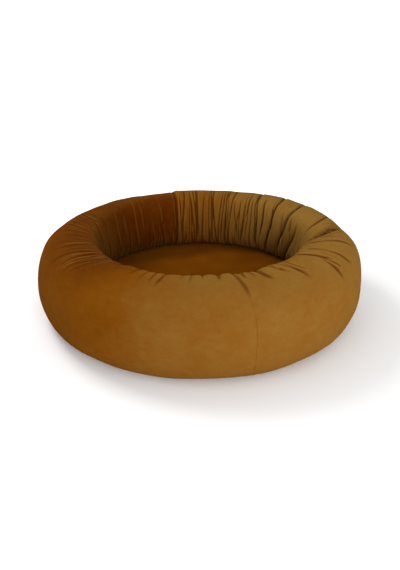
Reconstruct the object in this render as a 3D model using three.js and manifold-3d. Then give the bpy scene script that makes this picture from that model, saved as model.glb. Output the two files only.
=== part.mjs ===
// A round velvet pet bed: a stuffed ring bolster, gathered at its inner edge, around a padded floor.
// Millimetres, +Z up. The origin is on the ground at the centre of the bed; -Y is the bed's front.
//
// The washable cover is two velvet strips, a velvet floor disc and a two-piece base cloth with a zip.
// Inside it lie a ring insert and a floor insert, each a sewn liner full of loose polyester fibre.

import * as THREE from "three";
import { mergeVertices } from "three/addons/utils/BufferGeometryUtils.js";
import Module from "manifold-3d";

// ---- Driving dimensions ----

const OUTER_RADIUS = 400; // widest part of the bolster
const BELLY_OVERHANG = 62; // from the base seam out to the widest part
const FOOT_WIDTH = 58; // from the base seam in to the gathered floor seam
const CREST_OVERHANG = 4; // from the floor seam in to the circle along the bolster's top
const MOUTH_OVERHANG = 32; // from the floor seam in to the narrowest part of the nest's opening
const BOLSTER_HEIGHT = 202; // ground to the top of the bolster
const WIDEST_HEIGHT = 102; // height of the widest part
const MOUTH_HEIGHT = 132; // height of the narrowest part of the opening
const FLOOR_HEIGHT = 52; // height of the gathered seam, where the cover meets the floor
const FLOOR_CROWN = 8; // rise of the padded floor at its middle
const BASE_RECESS = 8; // height of the base's raised middle, which keeps the zip off the ground
const RECESS_MARGIN = 16; // from the floor seam in to the edge of that raised middle
const RECESS_SLOPE = 28; // width of the slope between the raised middle and the ring on the ground

const BASE_RADIUS = OUTER_RADIUS - BELLY_OVERHANG; // base seam, where the cover meets the base cloth
const FLOOR_RADIUS = BASE_RADIUS - FOOT_WIDTH; // gathered seam
const CREST_RADIUS = FLOOR_RADIUS - CREST_OVERHANG;
const MOUTH_RADIUS = FLOOR_RADIUS - MOUTH_OVERHANG;
const BASE_RECESS_RADIUS = FLOOR_RADIUS - RECESS_MARGIN;
const BASE_FOOT_INNER = BASE_RECESS_RADIUS + RECESS_SLOPE; // inner edge of the ring on the ground

const VELVET = 2; // cover fabric, pile and backing
const LINER = 0.8; // calico of the inserts
const BASE_CLOTH = 1.5; // coated non-slip cloth
const LAYER_GAP = 0.5; // slack between one layer of cloth and the next
const SEAM_GAP = 0.4; // gap between two edges that are sewn together
const SEAM_TURN = 15; // degrees from front to right of the strips' front seam; the other is opposite
const BASE_SEAM_LIFT = 0.4; // the cover's lower edge clears the ground by this

const BINDING_THICKNESS = 2.4; // bias tape folded over the gathered edge
const BINDING_HEIGHT = 10;

const ZIP_END_MARGIN = 24; // from each end of the coils out to the edge of the raised middle
const TAPE_WIDTH = 14;
const TAPE_THICKNESS = 0.6;
const TAPE_TAIL = 12; // tape past each end of the coils
const COIL_GAP = 1.8; // space between the coils for the slider's wedge
const COIL_WIDTH = 2.2;
const COIL_THICKNESS = 2.2;
const COIL_CLEARANCE = 0.3; // between a coil and its tape
const STOP_LENGTH = 4;
const STOP_OVERHANG = 1.2; // how far a stop is wider than the pair of coils, each side

const SLIDER_LENGTH = 12;
const SLIDER_PLATE = 1.2;
const SLIDER_FLANGE = 0.65; // the turned-in edges beside the coils
const SLIDER_FLARE = 1; // how much wider the open end is than the closed end, each side
const SLIDER_CLEARANCE = 0.5; // between the slider and what runs in it
const WINDOW_CLEARANCE = 0.75; // between the slider's open end and each edge of the base cloth
const WEDGE_LENGTH = 3.5;
const WEDGE_CLEARANCE = 0.4; // between the wedge and each coil
const BRIDGE_WIDTH = 1.6;
const BRIDGE_BAR = 1.2;
const BRIDGE_OPENING = 2.2; // height under the bridge, where the pull's crossbar turns
const BRIDGE_LENGTH = 8;

const PULL_LENGTH = 30;
const PULL_WIDTH = 7;
const PULL_THICKNESS = 1;
const PULL_NECK = 1; // how much narrower the pull is at its crossbar, each side
const PULL_CROSSBAR = 1; // the bar of the eye that turns under the bridge
const EYE_REACH = 3; // how far the eye runs on past the bridge's leg
const EYE_CLEARANCE = 0.6; // between the bridge and each side of the eye

const ZIP_LENGTH = 2 * (BASE_RECESS_RADIUS - ZIP_END_MARGIN); // length of the two coils
const COIL_INNER = COIL_GAP / 2;
const COIL_OUTER = COIL_INNER + COIL_WIDTH;
const SLIDER_TAIL_WIDTH = 2 * (COIL_OUTER + SLIDER_CLEARANCE + SLIDER_FLANGE); // closed end
const SLIDER_MOUTH_WIDTH = SLIDER_TAIL_WIDTH + 2 * SLIDER_FLARE; // open end
const ZIP_WINDOW = SLIDER_MOUTH_WIDTH + 2 * WINDOW_CLEARANCE; // opening in the base cloth
const WEDGE_WIDTH = COIL_GAP - 2 * WEDGE_CLEARANCE;
const PULL_EYE_END = BRIDGE_LENGTH / 2 + EYE_REACH; // from the crossbar's middle
const PULL_EYE_WIDTH = BRIDGE_WIDTH + 2 * EYE_CLEARANCE;

const ROUND_SEGMENTS = 36; // facets round the bed
const FULLNESS = 1.15; // how much fuller than an ellipse the bolster's outer side is

// ---- Materials ----

const material = (color, roughness, metalness = 0) =>
  new THREE.MeshStandardMaterial({ color, roughness, metalness });
const velvet = material(0x9a6420, 0.85);
const biasTape = material(0x7a4f1c, 0.9);
const nonSlipCloth = material(0x2b2724, 0.9);
const calico = material(0xe6dfd0, 0.95);
const fibre = material(0xf4f2ee, 1);
const wovenTape = material(0x33291d, 0.9);
const nylon = material(0x3d3125, 0.5);
const zincAlloy = material(0x8e8577, 0.35, 1);

// ---- Solids ----

const wasm = await Module();
wasm.setup();

const point = (x, y) => new THREE.Vector2(x, y);

// A closed three.js geometry as a manifold-3d solid.
function solid(geometry) {
  const bare = geometry.index ? geometry.toNonIndexed() : geometry.clone();
  bare.deleteAttribute("normal");
  bare.deleteAttribute("uv");
  const merged = mergeVertices(bare, 1e-4);
  return new wasm.Manifold(
    new wasm.Mesh({
      numProp: 3,
      vertProperties: merged.attributes.position.array,
      triVerts: new Uint32Array(merged.index.array),
    }),
  );
}

// A manifold-3d solid as a three.js geometry.
function geometryOf(made) {
  const mesh = made.getMesh();
  return new THREE.BufferGeometry()
    .setAttribute("position", new THREE.BufferAttribute(new Float32Array(mesh.vertProperties), 3))
    .setIndex(new THREE.BufferAttribute(new Uint32Array(mesh.triVerts), 1));
}

// The geometry swept out by a profile of (radius, height) points turned about the bed's vertical axis.
function revolve(profile) {
  const outline = THREE.ShapeUtils.isClockWise(profile) ? [...profile].reverse() : [...profile];
  const closesOnAxis = outline[0].x === 0 && outline.at(-1).x === 0;
  if (!closesOnAxis) outline.push(outline[0].clone());
  return new THREE.LatheGeometry(outline, ROUND_SEGMENTS).rotateX(Math.PI / 2);
}

// A box from its lowest to its highest corner.
function block(low, high) {
  const size = high.map((value, i) => value - low[i]);
  const middle = high.map((value, i) => (value + low[i]) / 2);
  return new THREE.BoxGeometry(...size).translate(...middle);
}

// A flat outline in X and Y, as thick as from one height to another.
function plate(outline, low, high, holes = []) {
  const shape = new THREE.Shape(outline);
  shape.holes = holes.map((hole) => new THREE.Path(hole));
  return new THREE.ExtrudeGeometry(shape, { depth: high - low, bevelEnabled: false }).translate(0, 0, low);
}

function piece(name, geometry, look) {
  const mesh = new THREE.Mesh(geometry, look);
  mesh.name = name;
  return mesh;
}

// ---- Profiles, as (radius, height) points ----

// A quarter of a rounded arc from one point to another, level at `level` and upright at `upright`.
function quarterArc(level, upright, steps, fullness = 1) {
  const points = [];
  for (let i = 0; i <= steps; i += 1) {
    const turn = (i / steps) * (Math.PI / 2);
    const along = Math.sin(turn) ** (1 / fullness);
    const across = Math.cos(turn) ** (1 / fullness);
    points.push(point(level.x + (upright.x - level.x) * along, upright.y + (level.y - upright.y) * across));
  }
  return points;
}

// The cover's outside, from the gathered floor seam over the crest to the base seam.
function coverProfile() {
  const seam = point(FLOOR_RADIUS, FLOOR_HEIGHT);
  const mouth = point(MOUTH_RADIUS, MOUTH_HEIGHT);
  const crest = point(CREST_RADIUS, BOLSTER_HEIGHT);
  const widest = point(OUTER_RADIUS, WIDEST_HEIGHT);
  const base = point(BASE_RADIUS, BASE_SEAM_LIFT);
  const wall = quarterArc(seam, mouth, 4);
  const brow = quarterArc(crest, mouth, 4).reverse();
  const shoulder = quarterArc(crest, widest, 5, FULLNESS);
  const belly = quarterArc(base, widest, 4, FULLNESS).reverse();
  return [...wall, ...brow.slice(1), ...shoulder.slice(1), ...belly.slice(1)];
}

// A point moved sideways, to the right of the way from `before` to `after`.
// A point on the bed's axis stays on it.
function sidestep(here, before, after, distance) {
  const way = after.clone().sub(before).normalize();
  const across = here.x === 0 ? 0 : here.x + way.y * distance;
  return point(across, here.y - way.x * distance);
}

// An open path moved sideways by a distance, to the right of the way it runs.
const inset = (path, distance) =>
  path.map((here, i) => sidestep(here, path[i - 1] ?? here, path[i + 1] ?? here, distance));

// A closed outline moved sideways in the same way.
const shrink = (outline, distance) =>
  outline.map((here, i) => sidestep(here, outline.at(i - 1), outline[i + 1] ?? outline[0], distance));

// A strip of cloth: a path, and the same path moved sideways by the cloth's thickness.
const strip = (path, thickness) => [...path, ...inset(path, thickness).reverse()];

const BINDING_INNER = FLOOR_RADIUS + LAYER_GAP;
const RING_INNER = BINDING_INNER + BINDING_THICKNESS + LAYER_GAP;
const BASE_TOP = BASE_CLOTH + LAYER_GAP;

// The outline of the ring insert, inside the cover, the base cloth and the gathered seam.
// `top` and `bottom` are the stretches above and below the insert's own two round seams.
function ringOutline() {
  const inside = inset(coverProfile(), VELVET + LAYER_GAP);
  const radii = inside.map((p) => p.x);
  const mouth = radii.indexOf(Math.min(...radii));
  const widest = radii.indexOf(Math.max(...radii));
  const corner = (BASE_RADIUS - RING_INNER) / 4;
  const foot = [
    point(BASE_RADIUS - corner, BASE_TOP),
    point(RING_INNER + corner, BASE_TOP),
    point(RING_INNER, BASE_TOP + corner),
    point(RING_INNER, FLOOR_HEIGHT + VELVET),
  ];
  return {
    top: inside.slice(mouth, widest + 1),
    bottom: [...inside.slice(widest), ...foot, ...inside.slice(0, mouth + 1)],
  };
}

// The outline's two stretches joined into one closed loop.
const ringLoop = ({ top, bottom }) => [...top, ...bottom.slice(1, -1)];

// One half of the ring insert's liner, stopping a little short of the seams at both its ends.
function linerProfile(stretch) {
  const trimmed = stretch.map((p) => p.clone());
  const shorten = (end, next) => {
    const way = next.clone().sub(end).normalize();
    end.addScaledVector(way, SEAM_GAP / 2);
  };
  shorten(trimmed[0], trimmed[1]);
  shorten(trimmed.at(-1), trimmed.at(-2));
  return strip(trimmed, LINER);
}

// Height of the floor's top surface at a distance from its middle.
const floorTop = (radius) =>
  FLOOR_HEIGHT - LAYER_GAP + FLOOR_CROWN * (1 - (radius / FLOOR_RADIUS) ** 2);

// ---- Cover ----

const BIG = 4 * OUTER_RADIUS;

// The two velvet strips: one ring of cloth, cut by an upright plane through the bed's axis.
function coverPanels() {
  const ring = solid(revolve(strip(coverProfile(), VELVET)));
  const half = solid(block([-SEAM_GAP / 2, -BIG, -BIG], [BIG, BIG, BIG])).rotate([0, 0, SEAM_TURN]);
  const otherHalf = solid(block([-BIG, -BIG, -BIG], [SEAM_GAP / 2, BIG, BIG])).rotate([0, 0, SEAM_TURN]);
  return [
    piece("cover_panel_left", geometryOf(ring.subtract(half)), velvet),
    piece("cover_panel_right", geometryOf(ring.subtract(otherHalf)), velvet),
  ];
}

function floorPanel() {
  const edge = FLOOR_RADIUS - LAYER_GAP;
  const rings = [0, 0.4, 0.75, 1].map((share) => share * edge);
  const top = rings.map((radius) => point(radius, floorTop(radius)));
  const under = rings.map((radius) => point(radius, floorTop(radius) - VELVET)).reverse();
  return piece("floor_panel", revolve([...top, ...under]), velvet);
}

// Bias tape round the gathered edge, hidden between the two inserts.
function gatherBinding() {
  const top = FLOOR_HEIGHT - LAYER_GAP;
  const outline = [
    point(BINDING_INNER, top),
    point(BINDING_INNER + BINDING_THICKNESS, top),
    point(BINDING_INNER + BINDING_THICKNESS, top - BINDING_HEIGHT),
    point(BINDING_INNER, top - BINDING_HEIGHT),
  ];
  return piece("gather_binding", revolve(outline), biasTape);
}

// The base cloth lies on the ground as a ring and rises to a shallow recess in its middle.
// It is two halves, sewn together past the ends of the zip's window.
function basePanels() {
  const under = [
    point(0, BASE_RECESS),
    point(BASE_RECESS_RADIUS, BASE_RECESS),
    point(BASE_FOOT_INNER, 0),
    point(BASE_RADIUS - LAYER_GAP, 0),
  ];
  const upper = under.map((p) => point(p.x, p.y + BASE_CLOTH)).reverse();
  const dish = solid(revolve([...under, ...upper]));
  const reach = ZIP_LENGTH / 2 + STOP_LENGTH;
  const window = solid(block([-reach, -ZIP_WINDOW / 2, -BIG], [reach, ZIP_WINDOW / 2, BIG]));
  const cloth = dish.subtract(window);
  const rear = solid(block([-BIG, -SEAM_GAP / 2, -BIG], [BIG, BIG, BIG]));
  const front = solid(block([-BIG, -BIG, -BIG], [BIG, SEAM_GAP / 2, BIG]));
  return [
    piece("base_panel_front", geometryOf(cloth.subtract(rear)), nonSlipCloth),
    piece("base_panel_rear", geometryOf(cloth.subtract(front)), nonSlipCloth),
  ];
}

// ---- Zip ----

const TAPE_BOTTOM = BASE_RECESS + BASE_CLOTH + LAYER_GAP;
const TAPE_TOP = TAPE_BOTTOM + TAPE_THICKNESS;
const COIL_TOP = TAPE_BOTTOM - COIL_CLEARANCE;
const COIL_BOTTOM = COIL_TOP - COIL_THICKNESS;
const OUTER_PLATE_TOP = COIL_BOTTOM - SLIDER_CLEARANCE;
const OUTER_PLATE_BOTTOM = OUTER_PLATE_TOP - SLIDER_PLATE;
const INNER_PLATE_BOTTOM = TAPE_TOP + SLIDER_CLEARANCE;
const INNER_PLATE_TOP = INNER_PLATE_BOTTOM + SLIDER_PLATE;
const SLIDER_REST_X = ZIP_LENGTH / 2 - SLIDER_LENGTH / 2 - SLIDER_CLEARANCE;
const PULL_AXIS_Z = OUTER_PLATE_BOTTOM - BRIDGE_OPENING / 2;

// `side` is 1 for the rear half of the zip and -1 for the front half.
function zipTape(name, side) {
  const near = side * COIL_INNER;
  const far = side * (COIL_INNER + TAPE_WIDTH);
  const reach = ZIP_LENGTH / 2 + TAPE_TAIL;
  const low = [-reach, Math.min(near, far), TAPE_BOTTOM];
  const high = [reach, Math.max(near, far), TAPE_TOP];
  return piece(name, block(low, high), wovenTape);
}

function zipCoilBar(name, side) {
  const near = side * COIL_INNER;
  const far = side * COIL_OUTER;
  const low = [-ZIP_LENGTH / 2, Math.min(near, far), COIL_BOTTOM];
  const high = [ZIP_LENGTH / 2, Math.max(near, far), COIL_TOP];
  return piece(name, block(low, high), nylon);
}

// A stop across both coils, at one end of the zip.
function zipStop(name, end) {
  const inner = end * (ZIP_LENGTH / 2 + LAYER_GAP);
  const outer = inner + end * (STOP_LENGTH - 2 * LAYER_GAP);
  const half = COIL_OUTER + STOP_OVERHANG;
  const low = [Math.min(inner, outer), -half, COIL_BOTTOM];
  const high = [Math.max(inner, outer), half, COIL_TOP];
  return piece(name, block(low, high), zincAlloy);
}

// Two plates joined by a wedge that runs between the coils, with the bridge that holds the pull.
// The flanges turn in over the coils and stop short of the tape.
function zipSlider() {
  const back = -SLIDER_LENGTH / 2;
  const front = SLIDER_LENGTH / 2;
  const outline = [
    point(back, -SLIDER_TAIL_WIDTH / 2),
    point(0, -SLIDER_TAIL_WIDTH / 2),
    point(front, -SLIDER_MOUTH_WIDTH / 2),
    point(front, SLIDER_MOUTH_WIDTH / 2),
    point(0, SLIDER_TAIL_WIDTH / 2),
    point(back, SLIDER_TAIL_WIDTH / 2),
  ];
  const outerPlate = solid(plate(outline, OUTER_PLATE_BOTTOM, OUTER_PLATE_TOP));
  const innerPlate = solid(plate(outline, INNER_PLATE_BOTTOM, INNER_PLATE_TOP));
  const wedge = solid(
    block(
      [front - WEDGE_LENGTH, -WEDGE_WIDTH / 2, OUTER_PLATE_BOTTOM],
      [front, WEDGE_WIDTH / 2, INNER_PLATE_TOP],
    ),
  );
  const flangeIn = COIL_OUTER + SLIDER_CLEARANCE;
  const flangeTop = TAPE_BOTTOM - SLIDER_CLEARANCE;
  const flanges = [1, -1].map((side) =>
    solid(
      block(
        [back, Math.min(side * flangeIn, (side * SLIDER_TAIL_WIDTH) / 2), OUTER_PLATE_BOTTOM],
        [0, Math.max(side * flangeIn, (side * SLIDER_TAIL_WIDTH) / 2), flangeTop],
      ),
    ),
  );
  const barBottom = OUTER_PLATE_BOTTOM - BRIDGE_OPENING - BRIDGE_BAR;
  const bridgeBlock = solid(
    block(
      [-BRIDGE_LENGTH / 2, -BRIDGE_WIDTH / 2, barBottom],
      [BRIDGE_LENGTH / 2, BRIDGE_WIDTH / 2, OUTER_PLATE_BOTTOM + SLIDER_PLATE / 2],
    ),
  );
  const legReach = BRIDGE_LENGTH / 2 - BRIDGE_BAR;
  const underBridge = solid(
    block([-legReach, -BIG, barBottom + BRIDGE_BAR], [legReach, BIG, OUTER_PLATE_BOTTOM]),
  );
  const bridge = bridgeBlock.subtract(underBridge);
  const made = [innerPlate, wedge, ...flanges, bridge].reduce((a, b) => a.add(b), outerPlate);
  const slider = piece("zip_slider", geometryOf(made), zincAlloy);
  slider.position.x = SLIDER_REST_X;
  return slider;
}

// The pull lies flat, its eye round the bridge and its crossbar under it, pointing along the closed zip.
function zipPull() {
  const eyeStart = PULL_CROSSBAR / 2;
  const eyeEnd = PULL_EYE_END;
  const narrow = PULL_WIDTH / 2 - PULL_NECK;
  const outline = [
    point(eyeStart, -narrow),
    point(eyeStart, narrow),
    point(-eyeEnd, PULL_WIDTH / 2),
    point(-PULL_LENGTH + PULL_WIDTH / 4, PULL_WIDTH / 2),
    point(-PULL_LENGTH, PULL_WIDTH / 4),
    point(-PULL_LENGTH, -PULL_WIDTH / 4),
    point(-PULL_LENGTH + PULL_WIDTH / 4, -PULL_WIDTH / 2),
    point(-eyeEnd, -PULL_WIDTH / 2),
  ];
  const eye = [
    point(-eyeStart, -PULL_EYE_WIDTH / 2),
    point(-eyeStart, PULL_EYE_WIDTH / 2),
    point(-eyeEnd, PULL_EYE_WIDTH / 2),
    point(-eyeEnd, -PULL_EYE_WIDTH / 2),
  ];
  const made = solid(plate(outline, -PULL_THICKNESS / 2, PULL_THICKNESS / 2, [eye]));
  const pull = piece("zip_pull", geometryOf(made), zincAlloy);
  pull.position.set(SLIDER_REST_X, 0, PULL_AXIS_Z);
  return pull;
}

// ---- Inserts ----

function ringInsert() {
  const outline = ringOutline();
  const fill = shrink(ringLoop(outline), LINER + LAYER_GAP);
  return [
    piece("ring_liner_top", revolve(linerProfile(outline.top)), calico),
    piece("ring_liner_bottom", revolve(linerProfile(outline.bottom)), calico),
    piece("ring_fill", revolve(fill), fibre),
  ];
}

// The floor insert rests above the zip's slider and stays inside the gathered seam.
function floorInsert() {
  const edge = FLOOR_RADIUS - 2 * LAYER_GAP;
  const bottom = INNER_PLATE_TOP + LAYER_GAP;
  const soften = VELVET + 3 * LAYER_GAP; // how far the pad's edge is rounded off
  const crown = (radius) => floorTop(radius) - VELVET - LAYER_GAP;
  const middle = (bottom + crown(edge)) / 2;
  const split = SEAM_GAP / 2;
  const top = [
    point(edge, middle + split),
    point(edge, crown(edge) - soften),
    point(edge - soften, crown(edge - soften)),
    point(edge / 2, crown(edge / 2)),
    point(0, crown(0)),
  ];
  const under = [
    point(0, bottom),
    point(edge - soften, bottom),
    point(edge, bottom + soften),
    point(edge, middle - split),
  ];
  const whole = [...under, ...top];
  const fill = inset(whole, -(LINER + LAYER_GAP));
  return [
    piece("floor_liner_top", revolve(strip(top, -LINER)), calico),
    piece("floor_liner_bottom", revolve(strip(under, -LINER)), calico),
    piece("floor_fill", revolve(fill), fibre),
  ];
}

// ---- The bed ----

const bed = new THREE.Group();
bed.add(
  ...coverPanels(),
  floorPanel(),
  gatherBinding(),
  ...basePanels(),
  zipTape("zip_tape_front", -1),
  zipTape("zip_tape_rear", 1),
  zipCoilBar("zip_coil_front", -1),
  zipCoilBar("zip_coil_rear", 1),
  zipStop("zip_stop_closed_end", 1),
  zipStop("zip_stop_open_end", -1),
  zipSlider(),
  zipPull(),
  ...ringInsert(),
  ...floorInsert(),
);

export default bed;
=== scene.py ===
# A round velvet pet bed, built round its CAD frame.

# %% [markdown]
# # A gathered velvet pet bed
# The bed is a ring bolster of loose fibre in a velvet cover. The cover is a flat strip of velvet that is
# gathered along one edge, where it meets the floor disc, and sewn flat along the other, where it meets the
# base cloth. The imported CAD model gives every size. This script adds what CAD leaves out: how cloth behaves.

# %% Load the frame
import math

import bmesh
import bpy
import numpy as np
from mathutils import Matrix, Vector


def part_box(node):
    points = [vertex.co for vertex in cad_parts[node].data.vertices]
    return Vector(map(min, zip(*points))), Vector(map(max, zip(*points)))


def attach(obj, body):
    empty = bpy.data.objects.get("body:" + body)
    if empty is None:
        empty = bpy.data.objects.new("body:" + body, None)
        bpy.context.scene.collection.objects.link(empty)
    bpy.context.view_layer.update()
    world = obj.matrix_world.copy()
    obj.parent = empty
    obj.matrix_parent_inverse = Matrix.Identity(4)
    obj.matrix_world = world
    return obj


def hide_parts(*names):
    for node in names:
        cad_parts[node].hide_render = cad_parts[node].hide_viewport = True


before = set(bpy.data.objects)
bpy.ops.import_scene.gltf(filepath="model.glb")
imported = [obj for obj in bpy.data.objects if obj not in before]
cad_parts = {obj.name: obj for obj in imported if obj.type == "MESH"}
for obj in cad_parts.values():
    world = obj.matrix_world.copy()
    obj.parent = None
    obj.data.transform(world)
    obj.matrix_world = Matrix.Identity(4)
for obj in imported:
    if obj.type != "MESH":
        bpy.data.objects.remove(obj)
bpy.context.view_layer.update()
scene = bpy.context.scene

# %% [markdown]
# ## Camera, floor and light
# A product photographer lays the bed on a pale paper sweep and stands a little above it, with large soft
# lights. The lens is a normal one, so the ring keeps its true proportions. The camera's shift only sets
# where the bed sits in the picture.

# %% Camera
CAMERA_RISE = math.radians(24.5)  # angle of the lens's axis above the ground
CAMERA_DISTANCE = 1.59
LOOK_AT_HEIGHT = 0.08
lens = bpy.data.cameras.new("studio_camera")
lens.lens = 39.3
lens.shift_y = -0.0208
camera = bpy.data.objects.new("studio_camera", lens)
camera.location = (
    0,
    -CAMERA_DISTANCE * math.cos(CAMERA_RISE),
    LOOK_AT_HEIGHT + CAMERA_DISTANCE * math.sin(CAMERA_RISE),
)
camera.rotation_euler = (math.pi / 2 - CAMERA_RISE, 0, 0)
scene.collection.objects.link(camera)
scene.camera = camera
print("camera at", [round(c, 3) for c in camera.location])


# %% Meshes from arrays of points
def mesh_object(name, points, faces, smooth=True):
    """A mesh object from an (n, 3) array of points and an (m, corners) array of corner numbers."""
    mesh = bpy.data.meshes.new(name)
    faces = np.asarray(faces, np.int32)
    mesh.vertices.add(len(points))
    mesh.vertices.foreach_set("co", np.asarray(points, np.float32).ravel())
    mesh.loops.add(faces.size)
    mesh.loops.foreach_set("vertex_index", faces.ravel())
    mesh.polygons.add(len(faces))
    mesh.polygons.foreach_set("loop_start", np.arange(0, faces.size, faces.shape[1], dtype=np.int32))
    mesh.update(calc_edges=True)
    mesh.validate()
    mesh.polygons.foreach_set("use_smooth", np.full(len(mesh.polygons), smooth))
    made = bpy.data.objects.new(name, mesh)
    scene.collection.objects.link(made)
    return made


def grid_faces(columns, rows, closed_columns=False, closed_rows=False):
    """Corner numbers of the quads between the points of a grid, numbered column by column."""
    i = np.arange(columns if closed_columns else columns - 1)
    j = np.arange(rows if closed_rows else rows - 1)
    i, j = np.meshgrid(i, j, indexing="ij")
    right, up = (i + 1) % columns, (j + 1) % rows
    corners = [i * rows + j, right * rows + j, right * rows + up, i * rows + up]
    return np.stack([c.ravel() for c in corners], axis=1)


def give_number(piece, name, values):
    """Stores one number a point on a piece, for its material to read."""
    attribute = piece.data.attributes.new(name, "FLOAT", "POINT")
    attribute.data.foreach_set("value", np.asarray(values, np.float32).ravel())


def give_uv(piece, uv):
    """Stores a place on the flat cloth, in metres, for each point of a piece."""
    layer = piece.data.uv_layers.new(name="cloth")
    corner = np.zeros(len(piece.data.loops), np.int32)
    piece.data.loops.foreach_get("vertex_index", corner)
    layer.data.foreach_set("uv", np.asarray(uv, np.float32)[corner].ravel())


# %% Paper sweep and lights
SWEEP_WIDTH = 14.0
across, along = np.meshgrid(np.linspace(-0.5, 0.5, 3) * SWEEP_WIDTH, np.linspace(0, 1, 60), indexing="ij")
bend = np.clip((along - 0.5) * 2, 0, 1) * math.pi / 2
sweep_y = np.where(along < 0.5, -4 + 16 * along, 4 + 3 * np.sin(bend))
sweep_z = np.where(along < 0.5, 0, 3 - 3 * np.cos(bend))
sweep = mesh_object(
    "studio_sweep", np.stack([across, sweep_y, sweep_z], -1).reshape(-1, 3), grid_faces(3, 60)
)


def softbox(name, place, aim, size, power):
    """A square area light at `place`, turned to face `aim`."""
    light = bpy.data.lights.new(name, "AREA")
    light.size = size
    light.energy = power
    box = bpy.data.objects.new(name, light)
    box.location = place
    box.rotation_euler = (Vector(aim) - Vector(place)).to_track_quat("-Z", "Y").to_euler()
    scene.collection.objects.link(box)


softbox("overhead_softbox", (-1.3, 0.9, 1.9), (0.1, 0, 0.1), 0.9, 28)
softbox("front_softbox", (0.8, -2.9, 0.9), (0, 0, 0.1), 1.4, 70)
softbox("backdrop_wash", (0, 2.6, 3.2), (0, 6.6, 0.2), 3.5, 300)
world = bpy.data.worlds.new("studio_air")
scene.world = world
world.use_nodes = True
world.node_tree.nodes["Background"].inputs["Color"].default_value = (1, 1, 1, 1)
world.node_tree.nodes["Background"].inputs["Strength"].default_value = 0.74
scene.view_settings.view_transform = "Standard"
print("stage is set")

# %% [markdown]
# ## A small kit for materials
# Every finish but the paper's is a Principled shader fed by noise and maths nodes. `Finish` keeps the node
# wiring short: each call adds one node or a few, and returns an output socket.


# %% Material kit
class Finish:
    """One material under construction: a Principled shader and the nodes that feed it."""

    def __init__(self, name, roughness, **fixed):
        self.material = bpy.data.materials.new(name)
        self.material.use_nodes = True
        self.tree = self.material.node_tree
        self.shader = self.tree.nodes["Principled BSDF"]
        self.shader.inputs["Roughness"].default_value = roughness
        for socket, value in fixed.items():
            self.shader.inputs[socket.replace("_", " ").title().replace("Ior", "IOR")].default_value = value

    def node(self, kind, inputs=(), output=0, **settings):
        """Adds a node, sets its settings and wires or sets its inputs; returns one of its outputs."""
        made = self.tree.nodes.new("ShaderNode" + kind)
        for key, value in settings.items():
            setattr(made, key, value)
        for key, value in dict(inputs).items():
            if isinstance(value, bpy.types.NodeSocket):
                self.tree.links.new(value, made.inputs[key])
            else:
                made.inputs[key].default_value = value
        return made.outputs[output]

    def place(self, scale=(1, 1, 1), turn=(0, 0, 0)):
        """A point's place on the piece, in metres, stretched and turned."""
        where = self.node("TexCoord", output="Object")
        return self.node("Mapping", {"Vector": where, "Scale": scale, "Rotation": turn})

    def cloth_place(self, scale=(1, 1, 1)):
        """A point's place on the flat cloth, in metres, stretched."""
        where = self.node("UVMap", uv_map="cloth")
        return self.node("Mapping", {"Vector": where, "Scale": scale})

    def number(self, name):
        """A number that the piece's points carry."""
        return self.node("Attribute", output="Fac", attribute_name=name)

    def noise(self, where, scale, detail=2.0, rough=0.5):
        return self.node("TexNoise", {"Vector": where, "Scale": scale, "Detail": detail, "Roughness": rough})

    def maths(self, operation, first, second=0.0):
        return self.node("Math", {0: first, 1: second}, operation=operation)

    def between(self, value, low, high, to_low=0.0, to_high=1.0):
        """Stretches a number's range from low..high to to_low..to_high, smoothly."""
        ends = {"From Min": low, "From Max": high, "To Min": to_low, "To Max": to_high}
        return self.node("MapRange", {"Value": value, **ends}, interpolation_type="SMOOTHSTEP")

    def mix(self, share, first, second):
        """A blend of two colours."""
        colours = {"Factor": share, "A": first, "B": second}
        node = self.tree.nodes.new("ShaderNodeMix")
        node.data_type = "RGBA"
        sockets = {"Factor": node.inputs[0], "A": node.inputs[6], "B": node.inputs[7]}
        for key, value in colours.items():
            if isinstance(value, bpy.types.NodeSocket):
                self.tree.links.new(value, sockets[key])
            elif key == "Factor":
                sockets[key].default_value = value
            else:
                sockets[key].default_value = (*value, 1)
        return node.outputs[2]

    def ramp(self, value, colours):
        """A colour that goes through several evenly spaced colours as a number goes from 0 to 1."""
        made = self.tree.nodes.new("ShaderNodeValToRGB")
        stops = made.color_ramp.elements
        stops[0].color, stops[1].color = (*colours[0], 1), (*colours[-1], 1)
        for step, colour in enumerate(colours[1:-1], 1):
            stops.new(step / (len(colours) - 1)).color = (*colour, 1)
        self.tree.links.new(value, made.inputs[0])
        return made.outputs[0]

    def bump(self, height, strength, depth, normal=None):
        inputs = {"Height": height, "Strength": strength, "Distance": depth}
        if normal is not None:
            inputs["Normal"] = normal
        return self.node("Bump", inputs)

    def wear(self, **sockets):
        """Wires outputs to the shader's sockets, and returns the finished material."""
        for key, value in sockets.items():
            self.tree.links.new(value, self.shader.inputs[key.replace("_", " ").title()])
        return self.material


paper = Finish("studio_paper", 0.9)
paper.shader.inputs["Base Color"].default_value = (0.9, 0.9, 0.9, 1)
sweep.data.materials.append(paper.material)


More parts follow.
